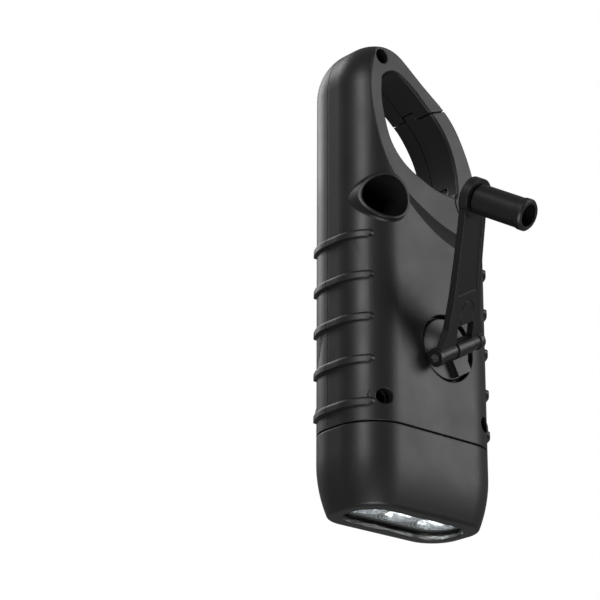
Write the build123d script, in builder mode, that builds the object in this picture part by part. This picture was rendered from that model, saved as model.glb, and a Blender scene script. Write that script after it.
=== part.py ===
from build123d import *
import math
import os

# Hand crank flashlight. Millimetres, Z up along the long axis from the lamp rim (z = 0),
# -Y the solar side, +Y the crank side, -X the gate side of the hook.

# ---- driving dimensions ------------------------------------------------------------
body_w = 43.0            # across the ribs' ground, X
body_d = 24.3            # through the handle, Y
corner_r = 10.15         # rounding of the long edges and of the hook
seam_z = 19.0            # lamp head meets handle
crown_z = 107.0          # height the hook's outline is measured from
shoulder_r, shoulder_a = 14.0, 50.0    # first arc of the top corner, radius and turn
crown_r = 10.35          # second arc, over the top
plate_d = 13.2           # thickness of hook, gate and the web round the eye
part_y = -1.8            # parting plane of the two shells
wall = 2.0               # shell wall
floor_t = 2.0            # closed bottom of the shells
cavity_top = 61.5        # inside height
front_wall = 3.95        # front wall, thick enough for the solar pocket
rib_z = 22.4             # lower edge of the lowest rib
rib_pitch = 10.2
rib_h = 1.9
rib_proud = 0.7
rib_reach = 9.9          # half length of a rib measured in Y
ribs = 5
hub_x, hub_z = -3.2, 40.3
hub_r = 7.55             # turning disc
hub_gap = 0.55           # ring gap round the disc
well_x, well_z = 15.3, 73.5
well_r = 5.2
well_rim = 0.6           # wall of the raised rim round the well
well_proud = 1.3         # height of that rim above the handle's skin
well_floor_y = -1.5
pivot_x, pivot_z = -18.9, 83.0
root_r = 6.45            # gate root lobe
gate_gap = 0.3
pin_r = 1.0
pin_fit = 0.05           # radial running clearance of every pin and shaft
arm_len = 37.0           # hinge axis to knob axis
arm_t = 1.8
arm_fold = 34.0          # stored pose, degrees up from the back face
arm_off = 0.8            # arm centre line beside the hub centre
hinge_y = 14.8
hinge_back = 0.8         # hinge axis short of the hub centre
knuckle_r = 1.8          # ears of the arm
hub_knuckle_r = 2.15
knob_r = 3.5
knob_top = 15.3          # knob tip above the hinge plane
module = 0.6             # gear module
crank_teeth, idler_small, idler_big, rotor_teeth = 42, 12, 30, 12
screw_in, screw_z = 5.7, 24.7         # lower case screws, in from the side
lens_recess = 1.0
cup_r, cup_pitch = 4.8, 10.3

half_w, half_d, half_plate = body_w / 2, body_d / 2, plate_d / 2
screw_x = half_w - screw_in
os.makedirs("parts", exist_ok=True)


# ---- shared outlines ---------------------------------------------------------------
def up(points):
    """Outline points of the hook, measured from the middle of the handle."""
    return [(x * half_w / 21.5, z + crown_z - 53.5) for x, z in points]


crown_sweep = 122.8       # whole turn from the side to the hook
hook_back = up([(-2.9, 57.0), (-11.8, 50.8), (-16.7, 43.6), (-20.1, 34.7), (-21.4, 26.3)])
low_left = (-half_w, crown_z - 29.5)

eye_right = up([(11.4, 51.5), (11.2, 46.5), (10.4, 43.0), (8.9, 38.8), (6.4, 35.5), (3.3, 33.2),
                (-0.7, 31.5), (-5.2, 30.1), (-9.6, 29.6), (-12.5, 29.6)])
eye_left = up([(-13.1, 31.0), (-12.9, 34.4), (-12.1, 38.2), (-10.4, 42.6), (-7.9, 46.4),
               (-5.1, 49.4)])
eye_top = up([(-3.8, 50.4), (0.9, 53.9), (4.6, 56.1), (7.3, 56.9), (9.5, 56.1), (11.3, 54.3)])

crease = up([(-26.0, 19.3), (-18.5, 19.4), (-9.1, 20.6), (-1.0, 23.8), (6.5, 28.5), (10.9, 34.4),
             (14.0, 43.1), (15.2, 52.5), (14.0, 59.4), (12.5, 70.0)])
brow = up([(-26.0, 10.5), (-16.5, 10.6), (-7.5, 11.2), (6.5, 17.5), (16.0, 28.5), (20.0, 38.0),
           (21.5, 46.0), (21.2, 60.0), (19.0, 74.0)])
brow_y = 13.0


def pocket_face(points, top, y):
    with BuildSketch(Plane.XZ.offset(-y)) as face:
        with BuildLine():
            edge = Spline(*points)
            Polyline(edge @ 1, (points[0][0], top), edge @ 0)
        make_face()
    return face.sketch.face()


def rounded(grow, z):
    """Cross section of the handle at one height, grown or shrunk all round."""
    with BuildSketch(Plane.XY.offset(z)) as face:
        RectangleRounded(body_w + 2 * grow, body_d + 2 * grow, corner_r + grow)
    return face.sketch.face()


# ---- outer form of handle and hook -------------------------------------------------
with BuildPart() as form:
    with BuildSketch(Plane.XZ):
        with BuildLine():
            side = Line((half_w, seam_z), (half_w, crown_z - 3.1))
            shoulder = JernArc(side @ 1, side % 1, shoulder_r, shoulder_a)
            crown = JernArc(shoulder @ 1, shoulder % 1, crown_r, crown_sweep - shoulder_a)
            back = Spline(crown @ 1, *hook_back, low_left, tangents=(crown % 1, (0, -1)))
            Polyline(back @ 1, (-half_w, seam_z), (half_w, seam_z))
        make_face()
    extrude(amount=half_d, both=True)
    rims = form.faces().filter_by(Axis.Y).edges().filter_by(lambda e: (e @ 0.5).Z > seam_z + 1)
    fillet(rims, corner_r)
    for side_y in (-1, 1):
        floor = pocket_face(crease, crown_z + 16.5, side_y * half_plate)
        mouth = pocket_face(brow, crown_z + 20.5, side_y * brow_y)
        loft(sections=[floor, mouth], ruled=True, mode=Mode.SUBTRACT)


# ---- eye of the hook, ribs, well rim -------------------------------------------------
with BuildPart() as eye:
    with BuildSketch(Plane.XZ):
        with BuildLine():
            Spline(*eye_right)
            Polyline(eye_right[-1], eye_left[0])
            Spline(*eye_left)
            Polyline(eye_left[-1], eye_top[0])
            Spline(*eye_top)
            Polyline(eye_top[-1], eye_right[0])
        make_face()
    extrude(amount=half_d, both=True)

with BuildPart() as blank:
    add(form.part)
    add(eye.part, mode=Mode.SUBTRACT)
    lips = [e for e in blank.edges() if e.length < 60
            and abs(abs((e @ 0.5).Y) - half_plate) < 0.01 and abs(abs((e @ 0).Y) - half_plate) < 0.01
            and Vertex(*(e @ 0.5)).distance_to(eye.part) < 0.01]
    chamfer(lips, 0.45)

with BuildPart() as rib_bars:
    for i in range(ribs):
        low = rib_z + i * rib_pitch
        with BuildPart(mode=Mode.PRIVATE) as bar:
            add(rounded(rib_proud, low))
            extrude(amount=rib_h, dir=(0, 0, 1))
            fillet(bar.faces().sort_by(Axis.Z)[-1].outer_wire().edges(), 0.7)
            with BuildSketch(Plane.YZ):
                with Locations((0, low + rib_h / 2)):
                    SlotOverall(2 * rib_reach, rib_h)
            extrude(amount=half_w + 2, both=True, mode=Mode.INTERSECT)
        add(bar.part)

def off_skin(p):
    """How far a point lies outside the handle's plain section."""
    dx, dy = abs(p.X) - (half_w - corner_r), abs(p.Y) - (half_d - corner_r)
    return math.hypot(max(dx, 0), max(dy, 0)) + min(max(dx, dy), 0) - corner_r


def off_well(p):
    return math.dist((p.X, p.Z), (well_x, well_z))


with BuildPart() as rim_block:
    add(rounded(well_proud, well_z - 12))
    extrude(amount=24, dir=(0, 0, 1))
    with BuildSketch(Plane.XZ.offset(-part_y)):
        with Locations((well_x, well_z)):
            Circle(well_r + well_rim)
    extrude(amount=-half_d - 6, mode=Mode.INTERSECT)

# ---- handle before it is parted ------------------------------------------------------
spigot_w, spigot_d, spigot_h = body_w - 5.6, body_d - 6.5, 3.4
bearing_floor = half_d - 3.75      # inner face of the crank bearing
disc_floor = half_d - 2.25         # floor of the disc recess
shaft_r = 2.5
post_r = 3.2
head_seat = 2.6                    # case screw heads sit here
screw_end = -5.6
cell_back = -half_d + 2.75         # floor of the solar pocket
screw_spots = [(screw_x, screw_z), (-screw_x, screw_z), (-screw_x, well_z - 6.1),
               (half_w - 9.9, crown_z + 6.3)]

with BuildPart() as handle:
    add(blank.part)
    add(rib_bars.part)
    add(rim_block.part)
    foot = [e for e in handle.edges() if off_skin(e @ 0.5) < well_proud / 2 and (e @ 0.5).Y > 2
            and all(abs(off_well(e @ t) - well_r - well_rim) < 0.02 for t in (0.1, 0.5, 0.9))
            and e.length > 3]
    fillet([e for e in foot if e.geom_type != GeomType.LINE], 0.8)
    # inside of the handle
    with BuildSketch(Plane.XY.offset(seam_z + floor_t)):
        with Locations((0, (front_wall - wall) / 2)):
            RectangleRounded(body_w - 2 * wall, body_d - wall - front_wall, 6)
    extrude(amount=cavity_top - seam_z - floor_t, mode=Mode.SUBTRACT)
    # spigot into the lamp head and the wire way through the floor
    with BuildSketch(Plane.XY.offset(seam_z - spigot_h)):
        SlotOverall(spigot_w, spigot_d)
        SlotOverall(spigot_w - 3, spigot_d - 3, mode=Mode.SUBTRACT)
    extrude(amount=spigot_h + 0.5)
    with BuildSketch(Plane.XY.offset(seam_z - 1)):
        SlotOverall(12, 5)
    extrude(amount=floor_t + 2, mode=Mode.SUBTRACT)
    # crank bearing: recess for the disc, boss inside the wall
    with BuildSketch(Plane.XZ.offset(-bearing_floor)):
        with Locations((hub_x, hub_z)):
            Circle(hub_r + hub_gap + 1.5)
    extrude(amount=-(half_d - 1 - bearing_floor))
    with BuildSketch(Plane.XZ.offset(-disc_floor)):
        with Locations((hub_x, hub_z)):
            Circle(hub_r + hub_gap)
    extrude(amount=-4, mode=Mode.SUBTRACT)
    with BuildSketch(Plane.XZ.offset(-bearing_floor + 1)):
        with Locations((hub_x, hub_z)):
            Circle(shaft_r + pin_fit)
    extrude(amount=-6, mode=Mode.SUBTRACT)
    # the well for the knob
    with BuildSketch(Plane.XZ.offset(-well_floor_y)):
        with Locations((well_x, well_z)):
            Circle(well_r)
    extrude(amount=-half_d - 6, mode=Mode.SUBTRACT)
    # screw posts, then the screw holes
    with BuildSketch(Plane.XZ):
        with Locations(*screw_spots[:2]):
            Circle(post_r)
    extrude(amount=half_d - 3, both=True)
    with BuildSketch(Plane.XZ.offset(-head_seat)):
        with Locations(*screw_spots):
            Circle(1.85)
    extrude(amount=-half_d, mode=Mode.SUBTRACT)
    with BuildSketch(Plane.XZ.offset(-screw_end)):
        with Locations(*screw_spots):
            Circle(0.95)
    extrude(amount=-9, mode=Mode.SUBTRACT)


# ---- gate: outline, tongue into the hook, fork at the root ----------------------------
seam_out, seam_in = up([(-8.0, 51.95), (-4.0, 50.2)])
seam_len = math.dist(seam_out, seam_in)
seam_dir = ((seam_in[0] - seam_out[0]) / seam_len, (seam_in[1] - seam_out[1]) / seam_len)
gate_inner = [(x + 1.5, z) for x, z in reversed(eye_left[:-1])]
step_drop = 0.7          # rear half of the end seam sits lower
step_y = 0.5
tongue_w, tongue_h, tongue_t = 2.2, 1.2, 3.0
tongue_g = 0.25
slot_low, slot_high = -3.0, 3.2


def along(d, rise=0.0):
    """Point on the end seam, d inward of its outer end, rise across it."""
    return (seam_out[0] + d * seam_dir[0] - rise * seam_dir[1],
            seam_out[1] + d * seam_dir[1] + rise * seam_dir[0])


def gate_zone(grow, y_low, y_high, drop):
    """Everything on the gate's side of the end seam and of the root arc."""
    first = along(-7, grow - drop)
    with BuildPart() as zone:
        with BuildSketch(Plane.XZ.offset(-y_low)):
            with BuildLine():
                Polyline(first, along(seam_len + 3, grow - drop), *gate_inner,
                         (pivot_x + root_r - 1, pivot_z), (pivot_x, pivot_z),
                         (pivot_x - 8, pivot_z), first)
            make_face()
            with Locations((pivot_x, pivot_z)):
                Circle(root_r + grow)
        extrude(amount=y_low - y_high)
    return zone.part


def end_tongue(clear):
    """Tongue on the gate's end, or with clearance the notch it lies in."""
    with BuildPart() as block:
        with BuildSketch(Plane.XZ):
            with BuildLine():
                Polyline(along(seam_len - tongue_w - clear, -1),
                         along(seam_len - tongue_w - clear, tongue_h + clear),
                         along(seam_len + 2, tongue_h + clear), along(seam_len + 2, -1),
                         along(seam_len - tongue_w - clear, -1))
            make_face()
        extrude(amount=tongue_t / 2 + clear, both=True)
    return block.part


def pin_hole(radius, x, z):
    with BuildPart() as hole:
        with BuildSketch(Plane.XZ):
            with Locations((x, z)):
                Circle(radius)
        extrude(amount=half_d + 1, both=True)
    return hole.part


with BuildPart() as gate:
    add(blank.part)
    with BuildPart(mode=Mode.INTERSECT):
        add(gate_zone(0, -half_d, step_y, 0))
        add(gate_zone(0, step_y, half_d, step_drop))
        add(end_tongue(0))
    with BuildSketch(Plane.XZ.offset(-slot_low)):
        with Locations((pivot_x, pivot_z)):
            Circle(root_r + 0.45)
    extrude(amount=slot_low - slot_high, mode=Mode.SUBTRACT)
    add(pin_hole(pin_r + pin_fit, pivot_x, pivot_z), mode=Mode.SUBTRACT)

# ---- the two shells ------------------------------------------------------------------
lug_low, lug_high, lug_r = -0.4, 3.0, root_r - 1.9
switch_z = rib_z + 2 * rib_pitch + rib_h / 2
button_w, button_h, button_gap, button_proud = 7.0, 13.0, 0.15, 0.9

with BuildPart() as body:
    add(handle.part)
    add(gate_zone(gate_gap, -half_d, step_y, 0), mode=Mode.SUBTRACT)
    add(gate_zone(gate_gap, step_y, half_d, step_drop), mode=Mode.SUBTRACT)
    add(end_tongue(tongue_g), mode=Mode.SUBTRACT)
    with BuildSketch(Plane.YZ.offset(-half_w - 2)):
        with Locations((0, switch_z)):
            RectangleRounded(button_w + 2 * button_gap, button_h + 2 * button_gap, 3)
    extrude(amount=wall + 4, mode=Mode.SUBTRACT)

with BuildPart() as lug:
    with BuildSketch(Plane.XZ.offset(-lug_low)):
        with Locations((pivot_x, pivot_z)):
            Circle(lug_r)
        with Locations((pivot_x, pivot_z - root_r / 2 - 1)):
            Rectangle(2 * lug_r, root_r + 2)
    extrude(amount=lug_low - lug_high)
    add(form.part, mode=Mode.INTERSECT)

halves = split(body.part, bisect_by=Plane.XZ.offset(-part_y), keep=Keep.BOTH)
front_half, rear_half = sorted(halves.solids(), key=lambda piece: piece.center().Y)


def save(piece, name):
    piece.part.label = name
    export_step(piece.part, "parts/" + name + ".step")


def disc_along_y(radius, low, high, x, z, hole=0.0):
    """Plain cylinder or ring on a Y axis, used by pins, rings and shafts."""
    with BuildPart() as piece:
        with BuildSketch(Plane.XZ.offset(-low)):
            with Locations((x, z)):
                Circle(radius)
                if hole:
                    Circle(hole, mode=Mode.SUBTRACT)
        extrude(amount=low - high)
    return piece.part


# gear train places: every centre follows from the tooth counts
def mesh_distance(a, b):
    return module * (a + b) / 2 + 0.03


idler_dir, rotor_dir = 40.0, -90.0
idler_x = hub_x + mesh_distance(crank_teeth, idler_small) * math.cos(math.radians(idler_dir))
idler_z = hub_z + mesh_distance(crank_teeth, idler_small) * math.sin(math.radians(idler_dir))
rotor_x = idler_x + mesh_distance(idler_big, rotor_teeth) * math.cos(math.radians(rotor_dir))
rotor_z = idler_z + mesh_distance(idler_big, rotor_teeth) * math.sin(math.radians(rotor_dir))
crank_gear_y = (6.2, 7.8)
idler_big_y = (3.7, 5.3)
plate_y = (1.9, 3.1)
axle_r = 0.9
pillars = [(half_w - 4.6, seam_z + 11.5), (hub_x + 3.2, cavity_top - 2.5),
           (half_w - 4.1, cavity_top - 2.1)]

with BuildPart() as rear_shell:
    add(rear_half)
    add(lug.part)
    add(pin_hole(pin_r, pivot_x, pivot_z), mode=Mode.SUBTRACT)
    with BuildPart(mode=Mode.ADD):
        for x, z in pillars:
            add(disc_along_y(1.6, plate_y[1], half_d - wall + 0.5, x, z))
        with BuildPart(mode=Mode.INTERSECT):
            add(rounded(-0.5, seam_z))
            extrude(amount=cavity_top - seam_z, dir=(0, 0, 1))
    # socket for the idler axle
    add(disc_along_y(2.0, 8.6, half_d - wall + 0.5, idler_x, idler_z))
    add(disc_along_y(axle_r, 7.9, half_d - wall, idler_x, idler_z), mode=Mode.SUBTRACT)
save(rear_shell, "rear_shell")

# ---- solar panel ---------------------------------------------------------------------
bezel_left, bezel_right, bezel_low, bezel_side_top = -13.2, 15.0, seam_z + 4.6, hub_z + 25.2
bezel_arch = 2.5
cell_cx, cell_cz, cell_w, cell_h = -0.55, seam_z + 26.5, 22.2, 35.2
opening_w, opening_h = 20.7, 33.8
cell_t = 1.2
frame_y = -half_d - 0.5
bezel_gap = 0.3


def bezel_outline(grow, y, depth):
    """Arch-topped outline of the solar panel, extruded into the body."""
    with BuildPart() as block:
        with BuildSketch(Plane.XZ.offset(-y)):
            with BuildLine():
                low_left_p = (bezel_left - grow, bezel_low - grow)
                low_right_p = (bezel_right + grow, bezel_low - grow)
                top_left = (bezel_left - grow, bezel_side_top + grow)
                top_right = (bezel_right + grow, bezel_side_top + grow)
                Polyline(top_left, low_left_p, low_right_p, top_right)
                ThreePointArc(top_right, ((bezel_left + bezel_right) / 2,
                                          bezel_side_top + bezel_arch + grow), top_left)
            corners = make_face()
            fillet(corners.vertices(), 2.2 + grow)
        extrude(amount=-depth)
    return block.part


def raised_frame():
    with BuildPart() as block:
        for y, x, z, w, h in ((cell_back - 1.2, cell_cx + 1.2, cell_cz - 0.85, 26.5, 39.3),
                              (frame_y, cell_cx + 0.2, cell_cz, 23.3, 36.0)):
            with BuildSketch(Plane.XZ.offset(-y)):
                with Locations((x, z)):
                    RectangleRounded(w, h, 2.6)
        loft(ruled=True)
    return block.part


with BuildPart() as solar_bezel:
    add(bezel_outline(0, -half_d - 2, half_d + 2 + cell_back))
    add(form.part, mode=Mode.INTERSECT)
    add(raised_frame())
    with BuildSketch(Plane.XZ.offset(-cell_back)):
        with Locations((cell_cx, cell_cz)):
            Rectangle(cell_w + 0.2, cell_h + 0.2)
    extrude(amount=cell_t, mode=Mode.SUBTRACT)
    with BuildSketch(Plane.XZ.offset(-cell_back)):
        with Locations((cell_cx, cell_cz)):
            RectangleRounded(opening_w, opening_h, 2)
    extrude(amount=6, mode=Mode.SUBTRACT)
save(solar_bezel, "solar_bezel")

with BuildPart() as solar_cell:
    with BuildSketch(Plane.XZ.offset(-cell_back)):
        with Locations((cell_cx, cell_cz)):
            Rectangle(cell_w, cell_h)
    extrude(amount=cell_t)
save(solar_cell, "solar_cell")

board_y = (-4.4, -3.2)
board_left, board_right, board_low, board_high = -17.2, -0.6, hub_z + 0.2, cavity_top - 1
standoffs = [(board_left + 2, board_high - 2), (board_right - 2, board_high - 2),
             (board_right - 2, board_low + 2)]
with BuildPart() as front_shell:
    add(front_half)
    add(bezel_outline(bezel_gap, -half_d - 2, half_d + 2 + cell_back), mode=Mode.SUBTRACT)
    for x, z in standoffs:
        add(disc_along_y(1.5, -half_d + front_wall - 0.5, board_y[0], x, z))
save(front_shell, "front_shell")

# ---- lamp head -----------------------------------------------------------------------
rim_round = 1.0
rim_inset, taper_h = 2.5, 12.5     # the head narrows towards its rim
head_bore_w, head_bore_d = body_w - 5.4, body_d - 6.3
lens_w, lens_d, lens_t = 34.8, 14.8, 1.0
window_w, window_d = 33.0, 13.0


def stadium(w, d, low, high):
    with BuildPart() as block:
        with BuildSketch(Plane.XY.offset(low)):
            SlotOverall(w, d)
        extrude(amount=high - low)
    return block.part


seal_low = seam_z - 1.2
seal_in, seam_gap = 0.9, 0.4
with BuildPart() as head_cap:
    add(rounded(0, taper_h))
    extrude(amount=seam_z - seam_gap - taper_h, dir=(0, 0, 1))
    steps = [rounded(-rim_inset * k * k, taper_h * (1 - k)) for k in (0, 0.333, 0.667, 1.0)]
    loft(sections=steps)
    fillet(head_cap.faces().sort_by(Axis.Z)[0].outer_wire().edges(), rim_round)
    add(stadium(window_w, window_d, -1, lens_recess + 0.5), mode=Mode.SUBTRACT)
    add(stadium(lens_w, lens_d, lens_recess, taper_h), mode=Mode.SUBTRACT)
    add(stadium(head_bore_w, head_bore_d, taper_h - 1, seam_z + 1), mode=Mode.SUBTRACT)
    with BuildSketch(Plane.XY.offset(seal_low)):
        RectangleRounded(body_w - 2 * seal_in, body_d - 2 * seal_in, corner_r - seal_in)
    extrude(amount=2, mode=Mode.SUBTRACT)
save(head_cap, "head_cap")

with BuildPart() as head_seal:
    with BuildSketch(Plane.XY.offset(seal_low)):
        RectangleRounded(body_w - 2 * seal_in, body_d - 2 * seal_in, corner_r - seal_in)
        SlotOverall(spigot_w, spigot_d, mode=Mode.SUBTRACT)
    extrude(amount=seam_z - seal_low)
save(head_seal, "head_seal")

with BuildPart() as lens:
    add(stadium(lens_w, lens_d, lens_recess, lens_recess + lens_t))
save(lens, "lens")

mask_low = lens_recess + lens_t
mask_high = mask_low + 0.6
mirror_w, mirror_d = 31.8, 11.4
with BuildPart() as lamp_mask:
    add(stadium(lens_w, lens_d, mask_low, mask_high))
    add(stadium(mirror_w, mirror_d, mask_low - 1, mask_high + 1), mode=Mode.SUBTRACT)
save(lamp_mask, "lamp_mask")

mirror_z = lens_recess + lens_t + 0.1
cup_depth = 5.6
led_r = 2.4
with BuildPart() as reflector:
    add(stadium(mirror_w - 0.2, mirror_d - 0.2, mirror_z, mask_high + 0.1))
    add(stadium(lens_w - 0.2, lens_d - 0.2, mask_high, mask_high + 1))
    add(stadium(mirror_w, mirror_d, mask_high, mirror_z + cup_depth + 0.8))
    for i in (-1, 0, 1):
        rings = []
        for k, turn in ((0, 0), (0.45, 7), (1, 16)):
            r = cup_r - (cup_r - led_r - 0.2) * k ** 1.6
            with BuildSketch(Plane.XY.offset(mirror_z + (cup_depth + 0.8) * k)) as ring:
                with Locations((i * cup_pitch, 0)):
                    RegularPolygon(r, 18, rotation=turn)
            rings.append(ring.sketch.face())
        loft(sections=rings, ruled=True, mode=Mode.SUBTRACT)
save(reflector, "reflector")

board_z = mirror_z + cup_depth + 0.8
with BuildPart() as led_board:
    add(stadium(mirror_w + 1, mirror_d + 2, board_z, board_z + 1.2))
save(led_board, "led_board")

with BuildPart() as leds:
    for i in (-1, 0, 1):
        with BuildSketch(Plane.XZ):
            with BuildLine():
                x0 = i * cup_pitch
                Polyline((x0, board_z - 5.2), (x0, board_z), (x0 + led_r, board_z),
                         (x0 + led_r, board_z - 5.2 + led_r))
                RadiusArc((x0 + led_r, board_z - 5.2 + led_r), (x0, board_z - 5.2), led_r)
            make_face()
        revolve(axis=Axis((x0, 0, 0), (0, 0, 1)))
save(leds, "leds")

# ---- gate and its pivot --------------------------------------------------------------
save(gate, "gate")

with BuildPart() as gate_pin:
    add(disc_along_y(pin_r, -4.9, 4.9, pivot_x, pivot_z))
save(gate_pin, "gate_pin")

spring_wire, spring_coil = 0.25, 1.7
with BuildPart() as gate_spring:
    with BuildLine():
        coil = Helix(0.62, 1.55, spring_coil, center=(pivot_x, -2.6, pivot_z), direction=(0, 1, 0))
    with BuildSketch(Plane(origin=coil @ 0, z_dir=coil % 0)):
        Circle(spring_wire)
    sweep()
save(gate_spring, "gate_spring")

# ---- crank: disc, hinge, arm and knob --------------------------------------------------
reach = math.dist((hub_x, hub_z), (well_x, well_z))
ex, ez = (well_x - hub_x) / reach, (well_z - hub_z) / reach      # towards the well
crank_plane = Plane(origin=(hub_x, 0, hub_z), x_dir=(ex, 0, ez), z_dir=(0, 1, 0))
fold = math.radians(arm_fold)
arm_x = (math.cos(fold) * ex, math.sin(fold), math.cos(fold) * ez)
arm_up = (-math.sin(fold) * ex, math.cos(fold), -math.sin(fold) * ez)
hinge_point = (hub_x - hinge_back * ex, hinge_y, hub_z - hinge_back * ez)
arm_plane = Plane(origin=hinge_point, x_dir=arm_x, z_dir=arm_up)
disc_low, disc_high = disc_floor + 0.2, half_d - 0.55     # the disc lies a little deep
mid_q, mid_w, ear_gap = -1.35, 5.6, 0.2      # central knuckle, off the hub centre
ear_left, ear_right = 8.2, -8.2
hinge_r = 0.95
leaf_h = 1.9             # leaf from the knuckle to the disc's rim
shaft_end = crank_gear_y[0]

with BuildPart() as crank_hub:
    with BuildSketch(crank_plane.offset(disc_low)):
        Circle(hub_r)
    extrude(amount=disc_high - disc_low)
    fillet(crank_hub.faces().sort_by(Axis.Y)[-1].edges(), 0.5)
    with BuildSketch(crank_plane.offset(shaft_end)):
        Circle(shaft_r)
    extrude(amount=disc_low - shaft_end + 0.2)
    with BuildSketch(crank_plane.offset(disc_high - 0.3)):
        with Locations((-hinge_back, mid_q)):
            Rectangle(2 * hub_knuckle_r, mid_w)
    extrude(amount=hinge_y - disc_high + 0.3)
    with BuildSketch(crank_plane.offset(disc_high - 0.3)):
        with Locations((-hinge_back - (hub_r - 0.6 - hinge_back) / 2, mid_q)):
            Rectangle(hub_r - 0.6 - hinge_back, mid_w - 0.8)
    extrude(amount=leaf_h)
    with BuildSketch(Plane(origin=hinge_point, x_dir=(ex, 0, ez), z_dir=(ez, 0, -ex)).offset(
            mid_q - mid_w / 2)):
        Circle(hub_knuckle_r)
    extrude(amount=mid_w)
    with BuildSketch(Plane(origin=hinge_point, x_dir=(ex, 0, ez), z_dir=(ez, 0, -ex))):
        Circle(hinge_r)
    extrude(amount=12, both=True, mode=Mode.SUBTRACT)
    with BuildSketch(crank_plane.offset(shaft_end)):
        Circle(0.9)
    extrude(amount=3.5, mode=Mode.SUBTRACT)
save(crank_hub, "crank_hub")

with BuildPart() as hinge_pin:
    with BuildSketch(Plane(origin=hinge_point, x_dir=(ex, 0, ez), z_dir=(ez, 0, -ex)).offset(
            ear_right + 0.2)):
        Circle(hinge_r)
    extrude(amount=ear_left - ear_right - 0.4)
save(hinge_pin, "hinge_pin")

tip_r, tip_t, slot_len = 4.6, 2.2, 6.2
arm_side = [(2.2, 7.6), (6.0, 5.9), (14.0, 4.85), (22.0, 4.35), (32.0, 4.05)]
with BuildPart() as crank_arm:
    with BuildSketch(arm_plane.offset(-arm_t / 2)):
        with BuildLine():
            top = [(s, q - arm_off) for s, q in arm_side]
            low = [(s, -q - arm_off) for s, q in reversed(arm_side)]
            Polyline((0, ear_left), (top[0][0] - 1, ear_left), *top, (arm_len, 4.05 - arm_off),
                     (arm_len, -4.05 - arm_off), *low, (low[-1][0] - 1, ear_right),
                     (0, ear_right), (0, ear_left))
        make_face()
    extrude(amount=arm_t)
    with BuildSketch(arm_plane.offset(-arm_t / 2)):
        with Locations((arm_len, -arm_off)):
            Circle(tip_r)
    extrude(amount=tip_t)
    with BuildSketch(Plane(origin=hinge_point, x_dir=arm_x, z_dir=(ez, 0, -ex)).offset(ear_right)):
        Circle(knuckle_r)
    extrude(amount=ear_left - ear_right)
    with BuildSketch(Plane(origin=hinge_point, x_dir=arm_x, z_dir=(ez, 0, -ex)).offset(ear_left)):
        Circle(hub_knuckle_r)
    extrude(amount=-1.3)
    with BuildSketch(Plane(origin=hinge_point, x_dir=arm_x, z_dir=(ez, 0, -ex)).offset(ear_right)):
        Circle(hub_knuckle_r)
    extrude(amount=1.3)
    # slot for the hub's knuckle, then the pin bore
    with BuildSketch(arm_plane.offset(-knuckle_r - 1)):
        with Locations(((slot_len - 3) / 2, mid_q)):
            Rectangle(slot_len + 3, mid_w + 2 * ear_gap)
    extrude(amount=2 * knuckle_r + 2, mode=Mode.SUBTRACT)
    with BuildSketch(Plane(origin=hinge_point, x_dir=arm_x, z_dir=(ez, 0, -ex))):
        Circle(hinge_r + pin_fit)
    extrude(amount=12, both=True, mode=Mode.SUBTRACT)
    with BuildSketch(arm_plane.offset(-arm_t / 2)):
        with Locations((arm_len, -arm_off)):
            Circle(1.2)
    extrude(amount=tip_t, mode=Mode.SUBTRACT)
    # shallow panel on the knob side, inside a raised border
    with BuildSketch(arm_plane.offset(arm_t / 2 - 0.3)):
        with BuildLine():
            edge = [(s, q - 0.9 - arm_off) for s, q in arm_side[2:]]
            mirror_edge = [(s, -q + 0.9 - arm_off) for s, q in reversed(arm_side[2:])]
            Polyline(*edge, *mirror_edge, edge[0])
        make_face()
    extrude(amount=1, mode=Mode.SUBTRACT)
    with BuildSketch(arm_plane.offset(arm_t / 2 - 0.2)):
        with Locations((slot_len + 2.2, mid_q)):
            Ellipse(3.6, 2.6)
            Ellipse(3.3, 2.3, mode=Mode.SUBTRACT)
    extrude(amount=1, mode=Mode.SUBTRACT)
save(crank_arm, "crank_arm")

knob_base = tip_t - arm_t / 2 + 0.25
knob_floor, knob_bore = 2.6, 2.6
with BuildPart() as knob:
    with BuildSketch(Plane(origin=arm_plane.from_local_coords((arm_len, -arm_off, 0)),
                           x_dir=arm_x, z_dir=Vector(*arm_x).cross(Vector(*arm_up)))):
        with BuildLine():
            Polyline((1.2 + pin_fit, knob_base), (knob_r - 0.3, knob_base),
                     (knob_r, knob_base + 0.3), (knob_r, knob_top - 2.2),
                     (knob_r + 0.2, knob_top - 1.6), (knob_r + 0.2, knob_top - 0.4),
                     (knob_r - 0.2, knob_top), (knob_bore, knob_top),
                     (knob_bore, knob_base + knob_floor), (1.2 + pin_fit, knob_base + knob_floor),
                     (1.2 + pin_fit, knob_base))
        make_face()
    revolve(axis=Axis(arm_plane.from_local_coords((arm_len, -arm_off, 0)), arm_up))
save(knob, "knob")

with BuildPart() as knob_screw:
    with BuildSketch(arm_plane.offset(-arm_t / 2)):
        with Locations((arm_len, -arm_off)):
            Circle(1.2)
    extrude(amount=arm_t / 2 + knob_base + knob_floor + 0.15)
    with BuildSketch(arm_plane.offset(knob_base + knob_floor + 0.15)):
        with Locations((arm_len, -arm_off)):
            Circle(2.0)
    extrude(amount=1.0)
save(knob_screw, "knob_screw")


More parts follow.
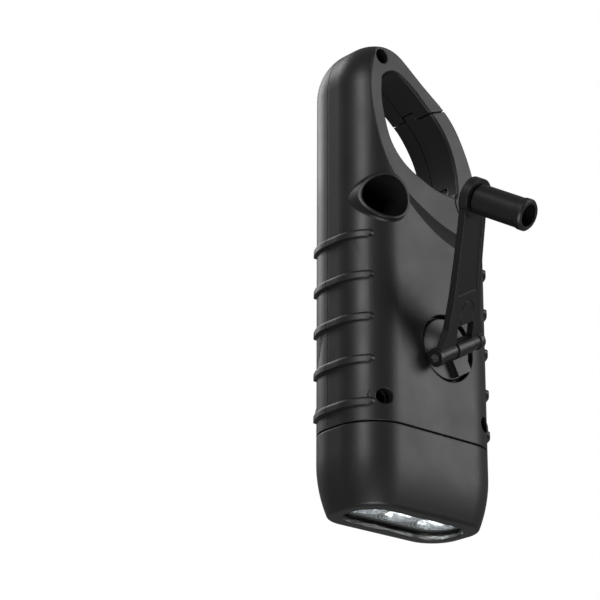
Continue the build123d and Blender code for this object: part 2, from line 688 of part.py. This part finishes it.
# ---- gears -----------------------------------------------------------------------------
def gear(teeth, x, z, y, tooth_at, bore):
    """Spur gear on a Y axis with one tooth pointing along tooth_at (degrees)."""
    pressure = math.radians(25)
    pitch_r = module * teeth / 2
    base_r = pitch_r * math.cos(pressure)
    half_at_pitch = (math.pi / 2 - 0.16) / teeth
    inv = math.tan(pressure) - pressure

    def half_angle(r):
        if r <= base_r:
            return half_at_pitch + inv
        a = math.acos(base_r / r)
        return half_at_pitch + inv - (math.tan(a) - a)

    root = pitch_r - 1.2 * module
    radii = [max(root + 0.05, base_r), pitch_r - 0.15 * module, pitch_r + 0.45 * module,
             pitch_r + 0.9 * module]
    points = []
    for k in range(teeth):
        mid = math.radians(tooth_at) + 2 * math.pi * k / teeth
        flank = [(r, half_angle(r)) for r in radii]
        first = half_angle(radii[0])
        outline = [(root, -first)] + [(r, -h) for r, h in flank]
        outline += [(r, h) for r, h in reversed(flank)] + [(root, first)]
        points += [(x + r * math.cos(mid + a), z + r * math.sin(mid + a)) for r, a in outline]
    with BuildPart() as wheel:
        with BuildSketch(Plane.XZ.offset(-y[0])):
            with BuildLine():
                Polyline(*points, points[0])
            make_face()
            with Locations((x, z)):
                Circle(bore, mode=Mode.SUBTRACT)
        extrude(amount=y[0] - y[1])
    return wheel.part


with BuildPart() as crank_gear:
    add(gear(crank_teeth, hub_x, hub_z, crank_gear_y, idler_dir, shaft_r))
    add(disc_along_y(shaft_r + 1.5, crank_gear_y[1], bearing_floor - 0.1, hub_x, hub_z, shaft_r))
save(crank_gear, "crank_gear")

with BuildPart() as idler_gear:
    add(gear(idler_big, idler_x, idler_z, idler_big_y, rotor_dir, axle_r + pin_fit))
    add(gear(idler_small, idler_x, idler_z, (idler_big_y[1], crank_gear_y[1] + 0.3),
             idler_dir + 180 + 180 / idler_small, axle_r + pin_fit))
save(idler_gear, "idler_gear")

with BuildPart() as idler_axle:
    add(disc_along_y(axle_r, plate_y[0], half_d - wall - 0.3, idler_x, idler_z))
save(idler_axle, "idler_axle")

rotor_shaft_r = 0.75
with BuildPart() as rotor_pinion:
    add(gear(rotor_teeth, rotor_x, rotor_z, (plate_y[1] + 0.3, idler_big_y[1] + 0.2),
             rotor_dir + 180 + 180 / rotor_teeth, rotor_shaft_r))
save(rotor_pinion, "rotor_pinion")

can_low, can_r = -6.4, 8.0
with BuildPart() as rotor_shaft:
    add(disc_along_y(rotor_shaft_r, can_low + 0.1, idler_big_y[1] + 0.4, rotor_x, rotor_z))
save(rotor_shaft, "rotor_shaft")

magnet_y = (-4.6, 0.4)
with BuildPart() as rotor_magnet:
    add(disc_along_y(4.2, magnet_y[0], magnet_y[1], rotor_x, rotor_z, rotor_shaft_r))
save(rotor_magnet, "rotor_magnet")

with BuildPart() as generator_can:
    add(disc_along_y(can_r, can_low, plate_y[0], rotor_x, rotor_z))
    add(disc_along_y(can_r - 0.6, can_low + 0.8, plate_y[0] + 1, rotor_x, rotor_z),
        mode=Mode.SUBTRACT)
    add(disc_along_y(rotor_shaft_r + pin_fit, can_low - 1, plate_y[0], rotor_x, rotor_z),
        mode=Mode.SUBTRACT)
save(generator_can, "generator_can")

with BuildPart() as stator_coil:
    add(disc_along_y(can_r - 0.6, can_low + 0.8, magnet_y[1], rotor_x, rotor_z, 4.6))
save(stator_coil, "stator_coil")

with BuildPart() as gear_plate:
    with BuildSketch(Plane.XZ.offset(-plate_y[0])):
        with BuildLine():
            Polyline((hub_x + 1.4, cavity_top - 0.6), (half_w - 2.3, cavity_top - 0.6),
                     (half_w - 2.3, seam_z + 9.7), (rotor_x - 4, seam_z + 9.7),
                     (hub_x + 4, rotor_z), (hub_x + 1.4, cavity_top - 0.6))
        corners = make_face()
        fillet(corners.vertices(), 1.5)
        with Locations((rotor_x, rotor_z)):
            Circle(rotor_shaft_r + pin_fit, mode=Mode.SUBTRACT)
        with Locations((idler_x, idler_z)):
            Circle(axle_r, mode=Mode.SUBTRACT)
    extrude(amount=plate_y[0] - plate_y[1])
save(gear_plate, "gear_plate")

with BuildPart() as crank_screw:
    add(disc_along_y(2.6, shaft_end - 1.0, shaft_end, hub_x, hub_z))
    add(disc_along_y(0.9, shaft_end, shaft_end + 3.2, hub_x, hub_z))
save(crank_screw, "crank_screw")

# ---- power and switching -----------------------------------------------------------------
battery_x, battery_z, battery_r = hub_x - 2.7, seam_z + 13.0, 7.0
cell_low, cell_step = -7.9, 3.6
with BuildPart() as battery_cells:
    for k in range(3):
        low = cell_low + k * (cell_step + 0.1)
        add(disc_along_y(battery_r, low, low + cell_step - 0.4, battery_x, battery_z))
        add(disc_along_y(battery_r - 1.2, low + cell_step - 0.4, low + cell_step + 0.1,
                         battery_x, battery_z))
save(battery_cells, "battery_cells")

with BuildPart() as battery_sleeve:
    add(disc_along_y(battery_r + 0.4, -half_d + front_wall, 3.4, battery_x, battery_z, battery_r))
save(battery_sleeve, "battery_sleeve")

with BuildPart() as circuit_board:
    with BuildSketch(Plane.XZ.offset(-board_y[0])):
        with Locations(((board_left + board_right) / 2, (board_low + board_high) / 2)):
            Rectangle(board_right - board_left, board_high - board_low)
    extrude(amount=board_y[0] - board_y[1])
save(circuit_board, "circuit_board")

plunger_r = 0.9
tact_left = board_left
with BuildPart() as tact_switch:
    with BuildSketch(Plane.XZ.offset(-board_y[1])):
        with Locations((tact_left + 1.75, switch_z)):
            Rectangle(3.5, 6)
    extrude(amount=-6)
    with BuildSketch(Plane.YZ.offset(tact_left - 1)):
        with Locations((0, switch_z)):
            Circle(plunger_r + pin_fit)
    extrude(amount=3, mode=Mode.SUBTRACT)
save(tact_switch, "tact_switch")

press = 0.8
flange_x = -half_w + wall + 0.45
with BuildPart() as switch_button:
    add(rounded(button_proud, switch_z - button_h))
    extrude(amount=2 * button_h, dir=(0, 0, 1))
    with BuildSketch(Plane.YZ.offset(flange_x)):
        with Locations((0, switch_z)):
            RectangleRounded(button_w, button_h, 3 - button_gap)
    extrude(amount=-6, mode=Mode.INTERSECT)
    fillet(switch_button.faces().sort_by(Axis.X)[0].edges(), 0.5)
    with BuildSketch(Plane.YZ.offset(flange_x)):
        with Locations((0, switch_z)):
            RectangleRounded(button_w + 1.4, button_h + 2, 3)
    extrude(amount=0.9)
    with BuildSketch(Plane.YZ.offset(flange_x + 0.9)):
        with Locations((0, switch_z)):
            Circle(plunger_r)
    extrude(amount=tact_left + 1.0 - flange_x - 0.9)
save(switch_button, "switch_button")

with BuildPart() as case_screws:
    for x, z in screw_spots:
        add(disc_along_y(0.95, screw_end, head_seat, x, z))
        add(disc_along_y(1.7, head_seat, head_seat + 1.2, x, z))
save(case_screws, "case_screws")
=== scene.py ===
import bpy
import math
from mathutils import Matrix, Vector


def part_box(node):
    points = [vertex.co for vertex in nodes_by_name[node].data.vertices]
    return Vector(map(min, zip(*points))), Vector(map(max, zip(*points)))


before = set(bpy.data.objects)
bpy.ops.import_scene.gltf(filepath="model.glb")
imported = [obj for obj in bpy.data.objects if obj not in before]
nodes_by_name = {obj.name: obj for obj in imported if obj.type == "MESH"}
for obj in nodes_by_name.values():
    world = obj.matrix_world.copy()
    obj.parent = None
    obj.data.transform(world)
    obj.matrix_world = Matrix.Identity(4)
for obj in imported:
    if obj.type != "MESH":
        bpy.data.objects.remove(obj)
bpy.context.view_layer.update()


def srgb(code, alpha=1.0):
    """sRGB hex to linear RGBA."""
    out = []
    for i in (0, 2, 4):
        v = int(code[i:i + 2], 16) / 255
        out.append(v / 12.92 if v <= 0.04045 else ((v + 0.055) / 1.055) ** 2.4)
    return (*out, alpha)


def add_node(tree, kind, inputs=None, **props):
    """Adds a shader node, sets its properties, then its inputs to values or to sockets."""
    node = tree.nodes.new(kind)
    for key, value in props.items():
        setattr(node, key, value)
    for key, value in (inputs or {}).items():
        if isinstance(value, bpy.types.NodeSocket):
            tree.links.new(value, node.inputs[key])
        else:
            node.inputs[key].default_value = value
    return node


def surface(name, **inputs):
    """A Principled material. Returns the material, its tree and its shader node."""
    mat = bpy.data.materials.new(name)
    mat.use_nodes = True
    tree = mat.node_tree
    shader = tree.nodes["Principled BSDF"]
    for key, value in inputs.items():
        shader.inputs[key.replace("_", " ")].default_value = value
    return mat, tree, shader


def noise(tree, scale, detail=2.0, rough=0.5):
    coords = add_node(tree, "ShaderNodeTexCoord")
    return add_node(tree, "ShaderNodeTexNoise", {
        "Vector": coords.outputs["Object"], "Scale": scale, "Detail": detail,
        "Roughness": rough}).outputs["Fac"]


def ramp(tree, value, low, high, out_low, out_high):
    return add_node(tree, "ShaderNodeMapRange", {
        "Value": value, "From Min": low, "From Max": high, "To Min": out_low,
        "To Max": out_high}).outputs["Result"]


def maths(tree, op, a, b=0.0):
    return add_node(tree, "ShaderNodeMath", {0: a, 1: b}, operation=op).outputs[0]


def bump(tree, shader, height, distance, strength=1.0, edge=0.0):
    """Bump from a height; with an edge radius, the corners also catch light as if rounded."""
    inputs = {"Height": height, "Distance": distance, "Strength": strength}
    if edge:
        inputs["Normal"] = add_node(tree, "ShaderNodeBevel", {"Radius": edge},
                                    samples=6).outputs["Normal"]
    node = add_node(tree, "ShaderNodeBump", inputs)
    tree.links.new(node.outputs["Normal"], shader.inputs["Normal"])
    return node


def dress(mat, *names):
    for name in names:
        data = nodes_by_name[name].data
        data.materials.clear()
        data.materials.append(mat)


def moulded(name, colour, rough, spread, grain, depth, edge=0.0002):
    """Moulded plastic: fine grain in the height and a slow drift in the roughness."""
    mat, tree, shader = surface(name, Base_Color=srgb(colour), IOR=1.5)
    fine = noise(tree, grain, 2.0, 0.6)
    slow = noise(tree, 90.0, 3.0, 0.5)
    tree.links.new(ramp(tree, slow, 0.3, 0.7, rough - spread, rough + spread),
                   shader.inputs["Roughness"])
    bump(tree, shader, fine, depth, edge=edge)
    return mat


# front_shell, rear_shell, gate and head_cap: matt black moulded plastic with a fine spark
# grain. The broad softbox shows as a grey sheen on the flat back, never as a sharp glint.
shell_black = moulded("black_abs_spark_grain", "111112", 0.43, 0.04, 2600.0, 0.00002,
                      edge=0.0004)
dress(shell_black, "front_shell", "rear_shell", "gate", "head_cap")

# The two shells also show their parting line: a hair-thin dark joint at the plane where the
# shells meet, on the body's sides only.
part_y, joint_half = -0.0018, 0.00012
head_top, fade = 0.0192, 0.0002        # the line stops at the lamp head
tree = shell_black.node_tree
shader = tree.nodes["Principled BSDF"]
coords = add_node(tree, "ShaderNodeTexCoord")
place = add_node(tree, "ShaderNodeSeparateXYZ", {"Vector": coords.outputs["Object"]})
off = maths(tree, "ABSOLUTE", maths(tree, "SUBTRACT", place.outputs["Y"], part_y))
near = ramp(tree, off, joint_half * 0.5, joint_half, 1.0, 0.0)
above = ramp(tree, place.outputs["Z"], head_top, head_top + fade, 0.0, 1.0)
line = maths(tree, "MULTIPLY", near, above)
tint = add_node(tree, "ShaderNodeMix", {
    "Factor": line, "A": srgb("111112"), "B": srgb("020202")}, data_type="RGBA")
tree.links.new(tint.outputs["Result"], shader.inputs["Base Color"])
tree.links.new(ramp(tree, line, 0.0, 1.0, 0.5, 0.0), shader.inputs["Specular IOR Level"])

# crank_hub, crank_arm and knob: the same black, moulded a little smoother than the shells.
crank_black = moulded("black_abs_satin", "101011", 0.38, 0.04, 3400.0, 0.000012)
dress(crank_black, "crank_hub", "crank_arm", "knob")

# switch_button and head_seal: soft rubber, no sheen.
rubber_black = moulded("black_rubber_matt", "111112", 0.75, 0.05, 3000.0, 0.00001)
dress(rubber_black, "switch_button", "head_seal")

# solar_bezel: semi-gloss black plastic frame round the solar cell.
bezel_black = moulded("black_semi_gloss", "141415", 0.28, 0.03, 3200.0, 0.000006)
dress(bezel_black, "solar_bezel")

# solar_cell: dark brown amorphous film behind a clear coat, ruled across with fine pale lines,
# and a black border all round.
film_half_w, film_half_h, film_lines = 0.00895, 0.0155, 1250.0     # lines per metre
cell_mat, tree, shader = surface("amorphous_solar_film", Roughness=0.3, Specular_IOR_Level=0.2,
                                 Coat_Weight=0.35, Coat_Roughness=0.05)
coords = add_node(tree, "ShaderNodeTexCoord")
split = add_node(tree, "ShaderNodeSeparateXYZ", {"Vector": coords.outputs["Object"]})
cell_low, cell_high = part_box("solar_cell")
mid = [(a + b) / 2 for a, b in zip(cell_low, cell_high)]


def inside(axis, centre, half, soft=0.00008):
    off = maths(tree, "ABSOLUTE", maths(tree, "SUBTRACT", split.outputs[axis], centre))
    return ramp(tree, off, half - soft, half + soft, 1.0, 0.0)


active = maths(tree, "MULTIPLY", inside("X", mid[0], film_half_w),
               inside("Z", mid[2], film_half_h))
wave = maths(tree, "FRACT", maths(tree, "MULTIPLY", split.outputs["Z"], film_lines))
rule = ramp(tree, maths(tree, "ABSOLUTE", maths(tree, "SUBTRACT", wave, 0.5)), 0.40, 0.46, 0.0,
            1.0)
film = add_node(tree, "ShaderNodeMix", {
    "Factor": rule, "A": srgb("331f14"), "B": srgb("46301f")}, data_type="RGBA")
face = add_node(tree, "ShaderNodeMix", {
    "Factor": active, "A": srgb("0d0d0e"), "B": film.outputs["Result"]}, data_type="RGBA")
tree.links.new(face.outputs["Result"], shader.inputs["Base Color"])
dress(cell_mat, "solar_cell")

# lens: clear polished window. It lets light straight through and mirrors a little at a low
# angle, on the side where the ray comes in.
lens_mat, tree, shader = surface("clear_polycarbonate", Base_Color=srgb("f4f7f8"), Roughness=0.03,
                                 IOR=1.49)
see_through = add_node(tree, "ShaderNodeBsdfTransparent", {"Color": srgb("f6f8f8")})
gloss = add_node(tree, "ShaderNodeBsdfGlossy", {"Roughness": 0.04})
edge_on = add_node(tree, "ShaderNodeFresnel", {"IOR": 1.3})
leaving = add_node(tree, "ShaderNodeNewGeometry").outputs["Backfacing"]
sheen = ramp(tree, leaving, 0.0, 1.0, edge_on.outputs[0], 0.0)
both = add_node(tree, "ShaderNodeMixShader", {
    0: sheen, 1: see_through.outputs[0], 2: gloss.outputs[0]})
tree.links.new(both.outputs[0], tree.nodes["Material Output"].inputs["Surface"])
dress(lens_mat, "lens")

# lamp_mask and battery_sleeve: matt black. The mask is the dark wall round the lamp cups.
mask_black = moulded("black_mask_matt", "121213", 0.6, 0.04, 2600.0, 0.00001)
dress(mask_black, "lamp_mask", "battery_sleeve")

# reflector: bright metallised plastic. Each of its three cups has light and dark rings painted
# into its colour as painted reflection, drawn round the cup's own axis and pulled into a slow
# spiral, and a dark painted ring at its rim as painted shade where the cup meets the flat.
cup_pitch, cup_rim, rim_half = 0.0103, 0.0047, 0.0001
ring_rate, spiral, wander = 7000.0, 2.0, 5.0      # radians per metre, then radians
mirror_mat, tree, shader = surface("vacuum_metallised", Metallic=0.6, Roughness=0.15)
coords = add_node(tree, "ShaderNodeTexCoord")
split = add_node(tree, "ShaderNodeSeparateXYZ", {"Vector": coords.outputs["Object"]})
across = maths(tree, "SUBTRACT", maths(
    tree, "FLOORED_MODULO", maths(tree, "ADD", split.outputs["X"], 1.5 * cup_pitch), cup_pitch),
    cup_pitch / 2)
radius = maths(tree, "SQRT", maths(tree, "ADD", maths(tree, "MULTIPLY", across, across),
                                   maths(tree, "MULTIPLY", split.outputs["Y"],
                                         split.outputs["Y"])))
reflection_swirl = maths(tree, "MULTIPLY", maths(tree, "ARCTAN2", split.outputs["Y"], across), spiral)
phase = maths(tree, "ADD", maths(tree, "MULTIPLY", radius, ring_rate), reflection_swirl)
phase = maths(tree, "ADD", phase, maths(tree, "MULTIPLY", noise(tree, 400.0, 2.0), wander))
# painted reflection: light and dark rings in the cup's colour stand in for the swirl of
# reflections in the metal
reflection_rings = ramp(tree, maths(tree, "SINE", phase), -1.0, -0.2, 0.0, 1.0)
# painted shade: a thin dark ring at each cup's rim, where the cup meets the flat
off_rim = maths(tree, "ABSOLUTE", maths(tree, "SUBTRACT", radius, cup_rim))
rim_shade = ramp(tree, off_rim, rim_half, 3 * rim_half, 0.0, 1.0)
reflection_rings = maths(tree, "MULTIPLY", reflection_rings, rim_shade)
# the base colour carries the painted reflection rings and the painted rim shade
painted_reflection_and_shade = add_node(tree, "ShaderNodeMix", {
    "Factor": reflection_rings, "A": srgb("5c5e62"), "B": srgb("fafbfc")}, data_type="RGBA")
tree.links.new(painted_reflection_and_shade.outputs["Result"], shader.inputs["Base Color"])
bump(tree, shader, reflection_rings, 0.00003, 0.7)
dress(mirror_mat, "reflector")

# leds: water-clear resin domes, lit, which is what makes the cups round them bright.
led_mat, tree, shader = surface("water_clear_resin", Base_Color=srgb("fbfbf2"), Roughness=0.05,
                                Transmission_Weight=0.85, IOR=1.53,
                                Emission_Color=srgb("fdfdff"), Emission_Strength=20.0)
dress(led_mat, "leds")

# steel pins, screws and springs: bright drawn steel with faint turning marks.
steel, tree, shader = surface("bright_steel", Base_Color=srgb("c4c4c6"), Metallic=1.0)
tree.links.new(ramp(tree, noise(tree, 1800.0), 0.3, 0.7, 0.2, 0.34), shader.inputs["Roughness"])
dress(steel, "gate_pin", "gate_spring", "gear_plate", "idler_axle", "hinge_pin", "crank_screw",
      "knob_screw", "rotor_shaft", "generator_can")
black_steel, tree, shader = surface("black_oxide_steel", Base_Color=srgb("2a2a2c"), Metallic=1.0)
tree.links.new(ramp(tree, noise(tree, 1800.0), 0.3, 0.7, 0.35, 0.5), shader.inputs["Roughness"])
dress(black_steel, "case_screws")

# gears inside: natural acetal; the rotor's pinion is brass.
acetal = moulded("natural_acetal", "e4e2da", 0.38, 0.04, 1500.0, 0.000004)
dress(acetal, "crank_gear", "idler_gear")
brass, tree, shader = surface("cut_brass", Base_Color=srgb("c79a45"), Metallic=1.0, Roughness=0.3)
dress(brass, "rotor_pinion")

# generator, battery and boards: hidden inside, dressed for the opened views.
ferrite = moulded("ground_ferrite", "3a3a3c", 0.45, 0.05, 900.0, 0.000004)
dress(ferrite, "rotor_magnet", "tact_switch")
copper, tree, shader = surface("enamelled_copper", Base_Color=srgb("a4552c"), Metallic=0.85,
                               Roughness=0.32)
dress(copper, "stator_coil")
mask_green, tree, shader = surface("green_solder_mask", Base_Color=srgb("1d5c33"), Roughness=0.3)
dress(mask_green, "circuit_board", "led_board")
wrap = moulded("shrink_film_green", "2f6b3c", 0.3, 0.03, 600.0, 0.000004)
dress(wrap, "battery_cells")

# Camera: the photograph's right-hand view. The place, aim, roll, lens and shift were solved
# from the straight edges in the picture.
turn, tilt, roll = math.radians(46.508), math.radians(-21.211), math.radians(-0.717)
distance, focal_px, cx, cy = 0.52079, 2200.61, 401.16, 306.32
picture_px, sensor_mm = 600, 36
target = Vector((0, 0, 0.0535))
back = Vector((math.cos(tilt) * math.cos(turn), math.cos(tilt) * math.sin(turn),
               math.sin(tilt)))
flat_right = Vector((-math.sin(turn), math.cos(turn), 0))
flat_up = back.cross(flat_right)
right = math.cos(roll) * flat_right + math.sin(roll) * flat_up
upward = -math.sin(roll) * flat_right + math.cos(roll) * flat_up
cam_data = bpy.data.cameras.new("camera")
camera = bpy.data.objects.new("camera", cam_data)
bpy.context.collection.objects.link(camera)
camera.matrix_world = Matrix((
    (right.x, upward.x, back.x, (target + back * distance).x),
    (right.y, upward.y, back.y, (target + back * distance).y),
    (right.z, upward.z, back.z, (target + back * distance).z),
    (0, 0, 0, 1)))
cam_data.sensor_width = sensor_mm
cam_data.lens = focal_px * sensor_mm / picture_px
cam_data.shift_x = (picture_px / 2 - cx) / picture_px
cam_data.shift_y = (cy - picture_px / 2) / picture_px
cam_data.clip_start, cam_data.clip_end = 0.01, 20
bpy.context.scene.camera = camera
bpy.context.scene.render.resolution_x = picture_px
bpy.context.scene.render.resolution_y = picture_px

# Light: a softbox over each broad side, one on the +X side and a low fill for the lamp end.
# The room is dim grey for the surfaces and plain white behind the object and through it.
room_level, white_level = 0.2, 1.0
world = bpy.data.worlds.new("studio")
bpy.context.scene.world = world
world.use_nodes = True
room = world.node_tree.nodes["Background"]
room.inputs["Color"].default_value = (1, 1, 1, 1)
path = add_node(world.node_tree, "ShaderNodeLightPath")
seen = maths(world.node_tree, "MAXIMUM", path.outputs["Is Camera Ray"],
             path.outputs["Is Transmission Ray"])
world.node_tree.links.new(ramp(world.node_tree, seen, 0.0, 1.0, room_level, white_level),
                          room.inputs["Strength"])


def softbox(name, place, aim, wide, high, power):
    data = bpy.data.lights.new(name, "AREA")
    data.shape = "RECTANGLE"
    data.size, data.size_y, data.energy = wide, high, power
    lamp = bpy.data.objects.new(name, data)
    bpy.context.collection.objects.link(lamp)
    lamp.location = place
    lamp.rotation_mode = "QUATERNION"
    lamp.rotation_quaternion = (Vector(place) - Vector(aim)).to_track_quat("Z", "Y")


softbox("key", (-0.60, 0.75, 0.30), target, 0.5, 0.6, 3.8)
softbox("front", (0.10, -0.80, 0.65), target, 0.5, 0.6, 3.6)
softbox("side", (0.83, 0.36, 0.42), target, 0.26, 0.5, 3.6)
softbox("low", (0.30, 0.36, -0.60), target, 0.5, 0.5, 4.0)
bpy.context.scene.view_settings.view_transform = "Standard"
bpy.context.scene.view_settings.look = "None"
bpy.context.scene.view_settings.exposure = 0.0
bpy.context.scene.view_settings.gamma = 1.0
